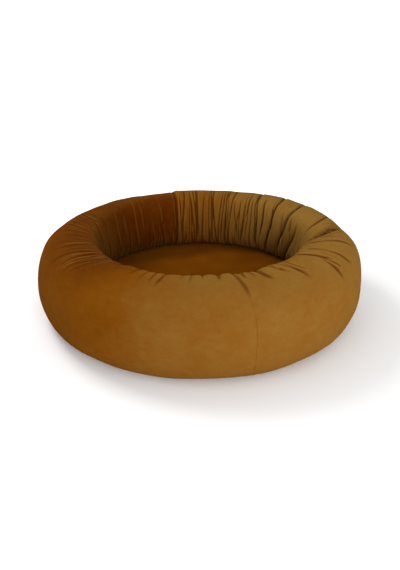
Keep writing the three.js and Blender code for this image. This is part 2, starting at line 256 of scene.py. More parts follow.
def velvet(name, tones, roots_and_crease_shade, sheen, nap=0.0, crush=0.3):
    """Short-pile velvet. `tones` are its colours from darkest to lightest, and a number each point carries
    picks
    between them: on the cover it paints shade and light with sheen, on the floor it only mottles the tone.
    Creases take the roots' dark colour as painted shade, and ridges the lightest tone as a painted highlight;
    the roots' colour also speckles the pile. The pile is combed round the ring, so its normals lean that way
    by `nap`."""
    cloth = Finish(name, 0.9, sheen_weight=sheen, sheen_roughness=0.45, sheen_tint=(1.0, 0.58, 0.12, 1))
    cloth.shader.inputs["Specular IOR Level"].default_value = 0.0
    where = cloth.place()
    patches = cloth.noise(where, 11.0, 4.0, 0.6)
    rubbed = cloth.noise(cloth.place(turn=(0.5, 0.3, 0.2)), 42.0, 5.0, 0.65)
    strokes = cloth.noise(cloth.cloth_place((0.8, 1.2, 1)), 75.0, 4.0, 0.6)
    pile = cloth.noise(where, 1300.0, 1.0)
    painted_light_and_mottle, ridge = cloth.number("painted_light_and_mottle"), cloth.number("ridge")
    drift = cloth.maths("ADD", cloth.maths("MULTIPLY", patches, 0.45), cloth.maths("MULTIPLY", rubbed, 0.3))
    drift = cloth.maths("ADD", drift, cloth.maths("MULTIPLY", strokes, 0.25))
    # The number each point carries, with random mottling of the crushed pile added: on the cover this paints
    # light and shade.
    brushed = cloth.maths("ADD", painted_light_and_mottle, cloth.between(drift, 0.3, 0.7, -0.11, 0.11))
    tone = cloth.ramp(brushed, tones)
    # Painted shade: creases take the roots' dark colour. Painted highlight: ridges take the lightest tone. The
    # speckle of roots after that is the pile's own.
    tone = cloth.mix(cloth.between(ridge, 0.0, -1.0, 0.0, 0.65), tone, roots_and_crease_shade)
    tone = cloth.mix(cloth.between(ridge, 0.2, 1.0, 0.0, 0.30), tone, tones[-1])
    tone = cloth.mix(cloth.between(pile, 0.35, 0.75, 0.0, 0.14), tone, roots_and_crease_shade)
    normal = cloth.node("NewGeometry", output="Normal")
    comb_x = cloth.node("SeparateXYZ", {0: where}, output="Y")
    comb_y = cloth.maths("MULTIPLY", cloth.node("SeparateXYZ", {0: where}, output="X"), -1.0)
    comb = cloth.node("CombineXYZ", {"X": comb_x, "Y": comb_y})
    comb = cloth.node("VectorMath", {0: comb}, operation="NORMALIZE")
    comb = cloth.node("VectorMath", {0: comb, "Scale": nap}, operation="SCALE")
    leaning = cloth.node("VectorMath", {0: normal, 1: comb}, operation="ADD")
    leaning = cloth.node("VectorMath", {0: leaning}, operation="NORMALIZE")
    bumps = cloth.bump(rubbed, crush, 0.004, leaning)
    bumps = cloth.bump(strokes, crush, 0.003, bumps)
    bumps = cloth.bump(pile, 0.25, 0.0006, bumps)
    return cloth.wear(base_color=tone, normal=bumps)


# The cover's tones: the darkest is painted shade, the middle one is the velvet's own colour, the lightest is
# painted light and sheen.
PILE_PAINTED_SHADE = (0.078, 0.0145, 0.0006)
PILE_AT_REST = (0.170, 0.049, 0.0015)
PILE_PAINTED_LIGHT_AND_SHEEN = (0.212, 0.112, 0.022)
# The pile's roots: the pile's own dark speckle, and also the painted shade in creases.
PILE_ROOTS_AND_CREASE_SHADE = (0.060, 0.011, 0.0006)
# The floor is the cover's velvet painted darker: painted shade. Its two tones only differ at random.
FLOOR_TONES_IN_PAINTED_SHADE = [(0.102, 0.025, 0.0004), (0.150, 0.044, 0.0008)]
velvet_cover = velvet(
    "velvet_cover", [PILE_PAINTED_SHADE, PILE_AT_REST, PILE_PAINTED_LIGHT_AND_SHEEN], PILE_ROOTS_AND_CREASE_SHADE, sheen=0.05, nap=0.35
)
velvet_floor = velvet("velvet_floor", FLOOR_TONES_IN_PAINTED_SHADE, PILE_ROOTS_AND_CREASE_SHADE, sheen=0.05, crush=0.2)
print("velvets are mixed")

# %% [markdown]
# ## The ring's section
# The cover's strip runs from the gathered floor seam up the inside wall, over the top and down the outside to
# the base seam. The places of its narrowest, highest and widest circles are measured on the CAD strips, and
# quarter arcs join them.

# %% Measure the ring on the CAD strips
VELVET_THICKNESS = 0.002
SEAM_GAP = 0.0005
ARC_FULLNESS = 1.15  # how much fuller than an ellipse the outer side is
LOW_FULLNESS = 1.4  # the same for its lowest part, which the stuffing weighs down
SOFTENING = 0.06  # length along the section over which its curvature is evened out


def node_points(name):
    """All points of a CAD node, in metres."""
    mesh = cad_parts[name].data
    points = np.zeros(len(mesh.vertices) * 3, np.float32)
    mesh.vertices.foreach_get("co", points)
    return points.reshape(-1, 3).astype(float)


strips = np.concatenate([node_points("cover_panel_left"), node_points("cover_panel_right")])
radius, height = np.hypot(strips[:, 0], strips[:, 1]), strips[:, 2]
MOUTH = np.array([radius.min(), height[radius.argmin()]])
CREST = np.array([radius[height.argmax()], height.max()])
WIDEST = np.array([radius.max(), height[radius.argmax()]])
BASE_SEAM = np.array([radius[height < 0.001].max(), height.min()])
floor_points = node_points("floor_panel")
floor_radius = np.hypot(floor_points[:, 0], floor_points[:, 1])
floor_rim = floor_points[floor_radius > floor_radius.max() - 0.001]
FLOOR_SEAM = np.array([floor_radius.max() + SEAM_GAP, floor_rim[:, 2].max() + SEAM_GAP])
print("mouth", MOUTH.round(4), "crest", CREST.round(4), "widest", WIDEST.round(4))
print("base seam", BASE_SEAM.round(4), "floor seam", FLOOR_SEAM.round(4))


# %% The section as an evenly spaced curve
def quarter_arc(level, upright, steps, fullness=1.0):
    """Points from `level`, where the curve runs level, to `upright`, where it runs upright.
    Sideways it goes as the sine of the turn, up and down as the cosine, each to the power 1 / fullness."""
    turn = np.linspace(0, math.pi / 2, steps)
    out, drop = np.sin(turn) ** (1 / fullness), np.cos(turn) ** (1 / fullness)
    radii = level[0] + (upright[0] - level[0]) * out
    heights = upright[1] + (level[1] - upright[1]) * drop
    return np.stack([radii, heights], 1)


def evened(curve, window):
    """A curve's values averaged over a window of samples, with its ends kept."""
    weight = np.hanning(window + 2)[1:-1]
    weight /= weight.sum()
    half = window // 2
    before = 2 * curve[0] - curve[half:0:-1]
    after = 2 * curve[-1] - curve[-2:-half - 2:-1]
    return np.convolve(np.concatenate([before, curve, after]), weight, "valid")


def bolster_section(rows):
    """Evenly spaced points along the ring's outside, from the floor seam over the top to the base seam:
    the distances along it, the (radius, height) points, the outward directions and the top's distance."""
    stretches = [
        quarter_arc(FLOOR_SEAM, MOUTH, 600),
        quarter_arc(CREST, MOUTH, 600)[::-1],
        quarter_arc(CREST, WIDEST, 900, ARC_FULLNESS),
        quarter_arc(BASE_SEAM, WIDEST, 700, LOW_FULLNESS)[::-1],
    ]
    path = np.concatenate([stretches[0], *[s[1:] for s in stretches[1:]]])
    gone = np.concatenate([[0], np.cumsum(np.linalg.norm(np.diff(path, axis=0), axis=1))])
    fine = np.linspace(0, gone[-1], 2000)
    window = int(2000 * SOFTENING / gone[-1]) | 1
    path = np.stack([evened(np.interp(fine, gone, path[:, k]), window) for k in (0, 1)], 1)
    path[:, 1] *= CREST[1] / path[:, 1].max()
    gone = np.concatenate([[0], np.cumsum(np.linalg.norm(np.diff(path, axis=0), axis=1))])
    at = np.linspace(0, gone[-1], rows)
    points = np.stack([np.interp(at, gone, path[:, k]) for k in (0, 1)], 1)
    way = np.gradient(points, at, axis=0)
    way /= np.linalg.norm(way, axis=1)[:, None]
    return at, points, np.stack([-way[:, 1], way[:, 0]], 1), at[points[:, 1].argmax()]


COLUMNS, ROWS = 960, 96
reach, section, section_outward, crest_reach = bolster_section(ROWS)
print("the strip is", round(reach[-1], 3), "m wide and its top is", round(crest_reach, 3), "m along")

# %% [markdown]
# ## Where the cloth folds
# The strip is longer than the seam it is sewn to, so it folds. The folds aren't even: a sewing machine's
# gathers bunch up at the back, and the stuffing pulls some long creases over the ring. The long creases are
# listed one by one. The small folds are too many for that, so each stretch of the ring only says how close,
# how long and how deep its folds are, and chance does the rest.

# %% Lines of the strip's weave
start = np.linspace(0, 2 * math.pi, COLUMNS, endpoint=False)  # 0 at the front, growing to the right
degrees = np.degrees(start)
# how far the weave leans round at the ring's sides: distance along the section in mm, degrees
LEAN = np.array([(0, 8), (40, 6), (80, 3), (111, 1), (140, 2), (175, 5), (210, 11), (240, 16), (300, 20)])
lean = evened(np.radians(np.interp(reach * 1000, LEAN[:, 0], LEAN[:, 1])), 9)
turn = start[:, None] + (np.sin(start) * np.abs(np.sin(start)))[:, None] * lean
sideways = np.stack([np.cos(turn), np.sin(turn), 0 * turn], -1)
radial = np.stack([np.sin(turn), -np.cos(turn), 0 * turn], -1)
UP = np.array([0, 0, 1.0])
smooth_ring = radial * section[:, :1] + UP * section[:, 1:]
outward = radial * section_outward[:, :1] + UP * section_outward[:, 1:]
rng = np.random.default_rng(11)

# %% Long creases
# Angle, where it starts and ends along the section, depth, half width, lip, slant, bend (degrees and mm).
# The lip is the proud edge on the side of the smaller angle. The slant is how far the crease drifts per
# mm. The bend carries its end that far towards the larger angle and its start as far the other way,
# along a sine, so it makes a slight S.
LONG_CREASES = [
    (141, 30, 215, 11, 6, 6, 0.02, 3), (136, 70, 150, 6, 4, 0, 0, -2),
    (127.5, 31, 224, 12, 5.5, 6, -0.2, 2), (118, 40, 130, 4, 5, 1, -0.03, 2),
    (113.5, 46, 220, 13, 6, 7, -0.25, -6), (106, 212, 248, 6, 5, 2, -0.8, 0),
    (108.5, 12, 116, 9, 5.5, 1.5, -0.5, 0), (88, 165, 244, 5, 5.5, 2, 0.3, 3),
    (73, 140, 234, 27, 10, 9, 0.65, 0), (77.5, 183, 226, 11, 6, 2, 0.9, 0),
    (64, 168, 252, 5, 4.5, 2, 0, 4), (54.5, 192, 258, 5.5, 4.5, 2, 0.05, -2),
    (49, 176, 238, 6.5, 5, 2, -0.15, 4), (47, 230, 268, 5, 4.5, 1, -0.2, 0),
    (36, 172, 218, 8, 5.5, 3, 0, 2), (31.5, 172, 196, 5, 5, 1, 0.3, 0),
    (14, 120, 250, 3, 5, 2, 0.03, 2), (172, 20, 190, 6, 4, 2, 0.02, -3),
    (182, 30, 185, 6.5, 4, 2, -0.03, 2), (163, 20, 175, 5.5, 4, 1.5, 0.03, -2),
    (195, 0, 235, 6, 4, 5, 0, 0),
]
# angle, start, end, height, half width
RIDGES = [(226, 40, 190, 3, 3), (221, 90, 180, 2, 2.5), (243, 60, 170, 2.5, 3), (207, 100, 185, 2.5, 3),
          (236, 90, 185, 2, 3), (254, 70, 190, 2, 3), (262, 60, 175, 2.2, 3), (213, 30, 120, 2, 3)]
SPACING_RADIUS = 248  # the radius in mm at which the spacing of the small folds is measured
LIP_FADE = 17  # how many mm beside a fold its lip has fallen to about a third
# from angle, to angle, spacing, where folds start, where they end, depth, half width
FOLDED_STRETCHES = [
    (145, 193, 10, (0, 70), (110, 215), (2.5, 6), (2.6, 3.6)),
    (84, 143, 22, (20, 100), (120, 190), (0.8, 2.4), (3, 5)),
    (197, 262, 24, (0, 20), (50, 110), (1.5, 3.5), (3, 4)),
    (258, 322, 10, (70, 150), (195, 275), (1.2, 3.2), (3, 4.5)),
    (310, 386, 20, (60, 100), (182, 218), (2.6, 5.2), (6, 9.5)),
    (18, 66, 24, (130, 165), (182, 216), (0.8, 2.4), (3, 4.5)),
    (0, 360, 13, (-5, 5), (18, 48), (1.5, 4), (2.6, 3.6)),
]
reach_mm = reach * 1000
fold = np.zeros((COLUMNS, ROWS))
spare = np.zeros((COLUMNS, ROWS))


def add_fold(angle, low, high, depth, half, lip=0.0, slant=0.0, bend=0.0, taper=14.0):
    """Adds one fold at an angle to the height map and to the cloth's spare length.
    Across, it is a bell with a narrow foot; along, it tapers in and out; a lip falls off slowly beside it.
    A negative depth makes a ridge. The spare length is what the sides of the fold take up."""
    middle = 0.5 * (low + high)
    along = (reach_mm - middle) / max(high - low, 1)
    drift = slant * (reach_mm - middle) + bend * np.sin(math.pi * along)
    apart = (degrees[:, None] - angle + 180) % 360 - 180
    off = np.radians(apart) * section[None, :, 0] * 1000 - drift
    begun = 1 / (1 + np.exp((low - reach_mm) / (0.4 * taper)))
    ends = begun / (1 + np.exp((reach_mm - high) / (0.6 * taper)))
    fold[:] -= depth * np.exp(-np.abs(off / half) ** 1.5) * ends
    fold[:] += lip * np.exp(np.clip(off, None, 0) / LIP_FADE) * np.clip((half - off) / half, 0, 1) * ends
    sides = 2 * (math.hypot(half, depth) - half) / (4 * half)
    spare[:] += sides * np.exp(-((off / (2.2 * half)) ** 2)) * ends


for crease in LONG_CREASES:
    add_fold(*crease, taper=18)
long_creases = fold / 1000
for angle, low, high, height, half in RIDGES:
    add_fold(angle, low, high, -height, half, slant=-0.06, bend=4, taper=24)
small_folds = 0
for first, last, spacing, lows, highs, depths, halves in FOLDED_STRETCHES:
    angle = first
    while angle < last:
        add_fold(angle, rng.uniform(*lows), rng.uniform(*highs), rng.uniform(*depths), rng.uniform(*halves),
                 lip=rng.uniform(0, 0.8), slant=rng.normal(0, 0.07), bend=rng.normal(0, 3))
        angle += math.degrees(spacing / SPACING_RADIUS) * rng.choice([0.55, 0.8, 1.1, 1.9])
        small_folds += 1
print("long creases:", len(LONG_CREASES), "ridges:", len(RIDGES), "small folds:", small_folds)


# %% Lumps of the stuffing
def waves(lowest, highest):
    """A periodic random curve round the ring, of all the whole waves from lowest to highest."""
    count = np.arange(lowest, highest + 1)
    phase, size = rng.uniform(0, 2 * math.pi, len(count)), rng.normal(0, 1, len(count))
    curve = (size[:, None] * np.cos(count[:, None] * start + phase[:, None])).sum(0)
    return curve / curve.std()


lumps = sum(
    size * np.outer(waves(low, high), np.sin(reach / reach[-1] * math.pi * bows + phase))
    for low, high, size, bows, phase in ((2, 9, 1.1, 3, 0.5), (5, 16, 0.9, 5, 1.9), (9, 26, 0.5, 8, 3.1))
)
# how much fuller the ring is stuffed in places: angle, mm
FULLNESS = np.array([
    (0, 0), (45, 3), (70, 12), (100, 13), (130, 11), (155, 6), (180, 3.5), (260, 3), (282, 8), (300, 6),
    (325, 1), (360, 0),
])
full = evened(np.interp(degrees, FULLNESS[:, 0], FULLNESS[:, 1]), 61)
lumps += full[:, None] * np.sin(np.clip((reach_mm - 90) / 250, 0, 1) * math.pi) ** 2
ends_held = np.clip(reach / 0.03, 0, 1) * np.clip((reach[-1] - reach) / 0.05, 0, 1)
fold = (fold + lumps * ends_held) / 1000
fold *= np.clip(reach / 0.008, 0, 1)
spare *= np.clip(reach / 0.012, 0, 1)

# %% [markdown]
# ## A cloth solver in numpy
# Blender has its own Cloth. This script gathers the strip with arrays instead, in a small solver of its own.
# Every thread between two neighbouring points wants its own length, and each pass moves both ends half the
# way there. The threads round the ring grow slowly to their full length, so the cloth buckles into folds.
# The stuffing pushes the cloth back to the folded ring, and a little smoothing stands for the velvet's
# stiffness. Even and odd pairs take turns, so whole arrays move at once.


# %% Threads
def share_stretch(first, second, rest, squeeze):
    """Half of the move that brings each pair to its rest length; squeezed threads give way more easily."""
    gap = second - first
    length = np.sqrt((gap * gap).sum(-1, keepdims=True))
    over = (length - rest) / length
    return gap * (over * np.where(over > 0, 0.5, 0.5 * squeeze).astype(np.float32))


def pull_round(points, parity, move):
    """Moves pairs of neighbours round the ring: the even ones if `parity` is 0, the odd ones if it is 1.
    move(first, second, parity) gives the first ones' step, and the second ones take the opposite step."""
    first = points[parity::2]
    second = points[1::2] if parity == 0 else np.roll(points[0::2], -1, axis=0)
    step = move(first, second, parity)
    first += step
    if parity == 0:
        second -= step
    else:
        points[0::2] -= np.roll(step, 1, axis=0)


SLACK_ALONG = 1.004  # how much longer than the ring's own lines the threads along the section are
SQUEEZE_ALONG = 0.2  # how firmly those threads resist being pushed together
PROUD_LIMIT, PROUD_PUSH = 0.0025, 0.08  # cloth that stands out farther than this is pushed in by this share
SUNK_LIMIT, SUNK_PUSH = 0.004, 0.1  # cloth that sinks in farther than this is pushed out by this share
LEAST_ROOM = np.float32(0.35)  # the share of their spacing that two neighbours always keep


def settle(points, ring, steps, grow=0.7, push_back=0.006, stiff_round=0.16, stiff_along=0.3):
    """Gathers the cloth: its fullness grows to the full value over the first `grow` of the steps."""
    round_gap = np.linalg.norm(np.roll(smooth_ring, -1, 0) - smooth_ring, axis=-1)
    along_gap = np.linalg.norm(np.diff(smooth_ring, axis=1), axis=-1)
    rest_round = round_gap[..., None].astype(np.float32)
    rest_along = along_gap[..., None].astype(np.float32) * SLACK_ALONG
    out, side = outward.astype(np.float32), sideways.astype(np.float32)
    first_row, last_row = points[:, :1].copy(), points[:, -1:].copy()
    for step in range(steps):
        grown = min(1.0, (step + 1) / (steps * grow))
        rest = rest_round * (1 + spare * grown)[..., None].astype(np.float32)
        depth = ((points - ring) * out).sum(-1, keepdims=True)
        push = -push_back * depth - PROUD_PUSH * np.maximum(depth - PROUD_LIMIT, 0)
        points += out * (push - SUNK_PUSH * np.minimum(depth + SUNK_LIMIT, 0))
        for _ in range(2):
            for parity in (0, 1):
                pull_round(points, parity, lambda a, b, p: share_stretch(a, b, rest[p::2], 1.0))
            for parity in (0, 1):
                second = points[:, parity + 1::2]
                pairs = second.shape[1]
                first = points[:, parity::2][:, :pairs]
                pull = share_stretch(first, second, rest_along[:, parity::2][:, :pairs], SQUEEZE_ALONG)
                first += pull
                second -= pull
        offset = points - ring
        middle = 0.5 * (offset[:, 2:] + offset[:, :-2]) - offset[:, 1:-1]
        points[:, 1:-1] += np.float32(stiff_along) * middle
        points += np.float32(stiff_round) * (0.5 * (np.roll(points, 1, 0) + np.roll(points, -1, 0)) - points)

        def keep_order(a, b, p):
            """Pushes apart neighbours that would slide over each other sideways."""
            way = side[p::2]
            room = ((b - a) * way).sum(-1, keepdims=True) - LEAST_ROOM * rest_round[p::2]
            return 0.5 * np.minimum(room, 0) * way

        for parity in (0, 1, 0, 1):
            pull_round(points, parity, keep_order)
        points[:, :1], points[:, -1:] = first_row, last_row
    return points


# %% Gather the strip
LONG_CREASE_PULL = 0.55  # the share of a long crease's depth that is added once the cloth has settled
folded_ring = (smooth_ring + outward * fold[..., None]).astype(np.float32)
cloth = folded_ring.copy()
cloth[:, 0], cloth[:, -1] = smooth_ring[:, 0], smooth_ring[:, -1]
cloth = settle(cloth, folded_ring, 200)
pulled_in = LONG_CREASE_PULL * long_creases * np.clip(reach / 0.03, 0, 1)
cloth += (outward * pulled_in[..., None]).astype(np.float32)
cloth[..., 2] = np.maximum(cloth[..., 2], BASE_SEAM[1])
depth = ((cloth - smooth_ring) * outward).sum(-1)
print("folds lie from", (depth.min() * 1000).round(1), "to", (depth.max() * 1000).round(1), "mm off the ring")


# %% Two strips
def ridge_number(points, ring_outward):
    """How far each point stands proud of its neighbours round the ring: +1 on a ridge, -1 in a crease."""
    total = np.zeros(points.shape[:2])
    for step, size in ((1, 0.00025), (3, 0.0012), (8, 0.004)):
        mean = 0.5 * (np.roll(points, step, 0) + np.roll(points, -step, 0))
        total += ((points - mean) * ring_outward).sum(-1) / size
    return np.clip(total / 2, -1, 1)


# This ridge number paints the velvet: painted shade in creases, a painted highlight on ridges.
ridge = ridge_number(cloth, outward)
SEAM_ANGLES = (15, 195)
seam_columns = [int(round(a / 360 * COLUMNS)) for a in SEAM_ANGLES]


def cover_strip(name, first, last, painted_light_table):
    """The part of the cloth between two seams, as a strip of velvet with its own thickness.
    Its last argument says how light each place is painted, from painted shade at 0 to painted light and
    sheen at 1: (degrees, share inside the ring, share outside)."""
    columns = np.arange(first, last + 1)
    points = cloth[columns % COLUMNS]
    strip = mesh_object(name, points.reshape(-1, 3), grid_faces(len(columns), ROWS)[:, ::-1])
    at, inside, outside = np.array(painted_light_table, float).T
    along = columns / COLUMNS * 360
    # Inside and outside the ring get their own painted light and shade, blended over the top.
    outer_share = np.clip((reach - 0.19) / 0.10, 0, 1)
    painted_light_and_mottle = np.interp(along, at, inside)[:, None] * (1 - outer_share)
    painted_light_and_mottle = painted_light_and_mottle + np.interp(along, at, outside)[:, None] * outer_share
    give_number(strip, "painted_light_and_mottle", painted_light_and_mottle)
    give_number(strip, "ridge", ridge[columns % COLUMNS])
    across = columns * (2 * math.pi * WIDEST[0] / COLUMNS)
    give_uv(strip, np.stack(np.meshgrid(across, reach, indexing="ij"), -1).reshape(-1, 2))
    strip.data.materials.append(velvet_cover)
    thick = strip.modifiers.new("velvet_thickness", "SOLIDIFY")
    thick.thickness = VELVET_THICKNESS * 0.75
    thick.offset = -1
    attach(strip, "bed")
    return strip


# How light the velvet is painted round the ring, as (degrees, share inside the ring, share outside): mostly
# painted shade on the left strip, painted light and sheen on the right.
PAINTED_LIGHT_RIGHT = [(15, 0.86, 0.76), (40, 0.82, 0.80), (90, 0.98, 0.98), (140, 0.92, 0.82), (170, 0.66, 0.62),
                 (195, 0.50, 0.50)]
PAINTED_LIGHT_LEFT = [(195, 0.10, 0.44), (230, 0.07, 0.38), (262, 0.04, 0.34), (290, 0.03, 0.24), (320, 0.08, 0.34),
                (345, 0.74, 0.70), (375, 0.86, 0.76)]
strip_right = cover_strip("velvet_strip_right", seam_columns[0], seam_columns[1], PAINTED_LIGHT_RIGHT)
strip_left = cover_strip("velvet_strip_left", seam_columns[1], seam_columns[0] + COLUMNS, PAINTED_LIGHT_LEFT)
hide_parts("cover_panel_right")
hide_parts("cover_panel_left")
print("strips have", len(strip_left.data.polygons), "and", len(strip_right.data.polygons), "faces")

# %% [markdown]
# ## Cloth pieces from grids
# The other cloths are grids too. Each is worked out as its finished face, and a Solidify modifier gives it
# its thickness on the hidden side. A round piece uses a square grid bent into a disc, because a fan of
# triangles round a middle point would pinch the cloth there.


# %% Helpers for cloth pieces
def cloth_piece(name, grid, toward, thickness, material, replaced, closed=False):
    """A sheet of cloth from a (columns, rows, 3) grid of its finished face, which looks `toward`."""
    columns, rows = grid.shape[:2]
    faces = grid_faces(columns, rows, closed)
    across, along = np.roll(grid, -1, 0) - grid, np.gradient(grid, axis=1)
    if (np.cross(across, along) * toward)[:-1].sum() < 0:
        faces = faces[:, ::-1]
    piece = mesh_object(name, grid.reshape(-1, 3), faces)
    piece.data.materials.append(material)
    thick = piece.modifiers.new("cloth_thickness", "SOLIDIFY")
    thick.thickness = thickness
    thick.offset = -1
    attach(piece, "bed")
    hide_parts(replaced)
    return piece


def disc_grid(count, size):
    """A square grid bent into a disc: each place slides along its line so that the sides become arcs."""
    u, v = np.meshgrid(np.linspace(-1, 1, count), np.linspace(-1, 1, count), indexing="ij")
    x, y = u * np.sqrt(1 - v * v / 2), v * np.sqrt(1 - u * u / 2)
    return size * x, size * y


def ripples(x, y, wave_length, seed):
    """A smooth random height, mostly between -1 and 1: a sum of sines that run in all directions."""
    chance = np.random.default_rng(seed)
    total = np.zeros_like(x)
    for _ in range(14):
        way, phase = chance.uniform(0, 2 * math.pi, 2)
        scale = 2 * math.pi / (wave_length * chance.uniform(0.7, 1.5))
        total += np.sin((x * math.cos(way) + y * math.sin(way)) * scale + phase)
    return total / 8


def joined_copies(name, points, faces, origins, material, smooth=True):
    """One mesh of a small shape repeated many times. `origins` holds the places and their (3, 3) turns."""
    places, turns = origins
    every = np.einsum("nij,pj->npi", turns, points) + places[:, None]
    numbers = (np.arange(len(places)) * len(points))[:, None, None] + np.asarray(faces)[None]
    piece = mesh_object(name, every.reshape(-1, 3), numbers.reshape(-1, np.asarray(faces).shape[1]), smooth)
    piece.data.materials.append(material)
    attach(piece, "bed")
    return piece


# %% [markdown]
# ## Plain cloths, fibre, nylon and metal
# A plain weave is two sets of threads at right angles, so its bump is one wave times another. Calico keeps
# flecks of seed husk. Loose fibre has no weave, only tangled hair. The zip's slider, pull and stops are
# zinc with a satin nickel plate.


# %% Weaves
def woven(name, dark, light, threads, depth, roughness=0.85, flecks=0.0, twill=0.0, by_cloth=True):
    """Cloth with `threads` threads a metre each way; a twill shifts each row a little along."""
    cloth = Finish(name, roughness)
    cloth.shader.inputs["Specular IOR Level"].default_value = 0.25
    where = cloth.cloth_place() if by_cloth else cloth.place()
    place = cloth.node("SeparateXYZ", {0: where})
    place = place.node
    u, v = place.outputs["X"], place.outputs["Y"]
    skewed = cloth.maths("ADD", u, cloth.maths("MULTIPLY", v, twill))
    turn = math.pi * threads
    warp = cloth.maths("SINE", cloth.maths("MULTIPLY", skewed, turn))
    weft = cloth.maths("SINE", cloth.maths("MULTIPLY", v, turn))
    thread = cloth.maths("MULTIPLY", warp, weft)
    slubs = cloth.noise(cloth.node("Mapping", {"Vector": where, "Scale": (0.25, 1, 1)}), 260.0, 3.0)
    cloudy = cloth.noise(cloth.place(), 14.0, 3.0)
    tone = cloth.mix(cloth.between(cloth.maths("ADD", slubs, cloudy), 0.75, 1.25), dark, light)
    tone = cloth.mix(cloth.between(thread, -1, 1, 0.0, 0.25), tone, dark)
    if flecks:
        husk = cloth.noise(cloth.place(), 420.0, 1.0)
        tone = cloth.mix(cloth.between(husk, 0.70, 0.76, 0.0, flecks), tone, (0.16, 0.09, 0.04))
    rough = cloth.between(slubs, 0.3, 0.7, roughness - 0.06, roughness + 0.06)
    bumps = cloth.bump(slubs, 0.4, depth * 2)
    return cloth.wear(base_color=tone, roughness=rough, normal=cloth.bump(thread, 0.8, depth, bumps))


calico = woven("unbleached_calico", (0.52, 0.44, 0.33), (0.68, 0.61, 0.49), 900, 0.0002, flecks=0.7)
bias_tape = woven("cotton_bias_tape", (0.085, 0.034, 0.008), (0.15, 0.066, 0.018), 1100, 0.0002, twill=1.0)
base_cloth = woven("coated_base_cloth", (0.012, 0.010, 0.009), (0.030, 0.026, 0.022), 700, 0.0003, 0.62)
zip_tape_cloth = woven(
    "zip_tape_twill", (0.028, 0.016, 0.008), (0.052, 0.030, 0.015), 1300, 0.0002, 0.8, twill=0.5
)


# %% Fibre, rubber, nylon, thread and nickel
def tangled_fibre():
    """White hollow fibre: soft lumps, and fine hair that runs every way."""
    fibre = Finish("hollow_fibre", 0.95, sheen_weight=0.3, sheen_roughness=0.6)
    lump = fibre.noise(fibre.place(), 55.0, 4.0, 0.6)
    hair = fibre.noise(fibre.place((1, 1, 0.2)), 700.0, 4.0, 0.75)
    hair_across = fibre.noise(fibre.place((0.2, 1, 1), (0.4, 0.7, 0.2)), 800.0, 4.0, 0.75)
    tangle = fibre.maths("ADD", hair, hair_across)
    tone = fibre.mix(fibre.between(lump, 0.3, 0.7), (0.62, 0.61, 0.58), (0.86, 0.85, 0.82))
    tone = fibre.mix(fibre.between(tangle, 0.8, 1.2, 0.0, 0.3), tone, (0.55, 0.54, 0.51))
    bumps = fibre.bump(tangle, 0.7, 0.0012, fibre.bump(lump, 0.5, 0.006))
    return fibre.wear(base_color=tone, normal=bumps)


def moulded(name, dark, light, roughness, grain):
    """A plastic or rubber with cloudy colour and a fine grain."""
    plastic = Finish(name, roughness)
    cloud = plastic.noise(plastic.place(), 90.0, 3.0)
    fine = plastic.noise(plastic.place(), grain, 2.0)
    rough = plastic.between(fine, 0.3, 0.7, roughness - 0.08, roughness + 0.08)
    tone = plastic.mix(cloud, dark, light)
    return plastic.wear(base_color=tone, roughness=rough, normal=plastic.bump(fine, 0.3, 0.0001))


def satin_nickel():
    """Nickel plate with a brushed satin grain, faint scratches and cloudy patches of two warm greys."""
    metal = Finish("satin_nickel", 0.34, metallic=1.0)
    grain = metal.noise(metal.place((1, 14, 14)), 420.0, 3.0, 0.6)
    scratch = metal.noise(metal.place((0.6, 20, 4), (0.2, 0.5, 0.8)), 180.0, 2.0)
    cloud = metal.noise(metal.place(), 160.0, 2.0)
    tone = metal.mix(metal.between(cloud, 0.3, 0.7), (0.44, 0.41, 0.37), (0.58, 0.55, 0.50))
    rough = metal.between(grain, 0.25, 0.75, 0.26, 0.46)
    bumps = metal.bump(scratch, 0.15, 0.00008, metal.bump(grain, 0.25, 0.00006))
    return metal.wear(base_color=tone, roughness=rough, normal=bumps)


fibre = tangled_fibre()
grip_rubber = moulded("grip_rubber", (0.020, 0.018, 0.017), (0.040, 0.036, 0.033), 0.48, 1500.0)
nylon = moulded("zip_nylon", (0.045, 0.028, 0.015), (0.075, 0.048, 0.028), 0.40, 2200.0)
thread = moulded("sewing_thread", (0.16, 0.085, 0.025), (0.24, 0.135, 0.045), 0.70, 3000.0)
nickel = satin_nickel()
print("finishes:", len(bpy.data.materials))

# %% [markdown]
# ## The floor disc
# The floor is one flat disc of velvet over a thin pad. Its seam pulls it down all round, so it crowns
# gently, and the seam's gathers leave short puckers near the edge.

# %% Floor disc
floor_size = floor_radius.max()
floor_rim_height = floor_rim[:, 2].max()
floor_top = floor_points[:, 2].max()
x, y = disc_grid(190, floor_size)
share = np.hypot(x, y) / floor_size
around_floor = np.arctan2(x, -y)
puckers = sum(np.sin(n * around_floor + 1.7 * n) for n in (53, 71, 88, 97)) / 2.2
z = floor_rim_height + (floor_top - floor_rim_height) * (1 - share**3.2)
z += 0.0011 * ripples(x, y, 0.16, 3) * (1 - share**6)
z += 0.0006 * ripples(x, y, 0.055, 4) * (1 - share**6)
z += 0.0016 * puckers * np.exp((share - 1) * floor_size / 0.012) * (1 - share**60)
disc = np.stack([x, y, z], -1)
floor_disc = cloth_piece("floor_disc", disc, UP, 0.0015, velvet_floor, "floor_panel")
give_number(floor_disc, "painted_light_and_mottle", 0.5 + 0.45 * ripples(x, y, 0.10, 9))
# Painted shadow: a negative ridge number darkens the floor's rim with the roots' colour, where the wall hangs
# over the seam.
give_number(floor_disc, "ridge", -0.9 * np.exp((share - 1) * floor_size / 0.006))
give_uv(floor_disc, np.stack([x, y], -1).reshape(-1, 2))
crown_mm = (floor_top - floor_rim_height) * 1000
print("floor disc", round(2 * floor_size, 3), "m across, crown", round(crown_mm, 1), "mm")

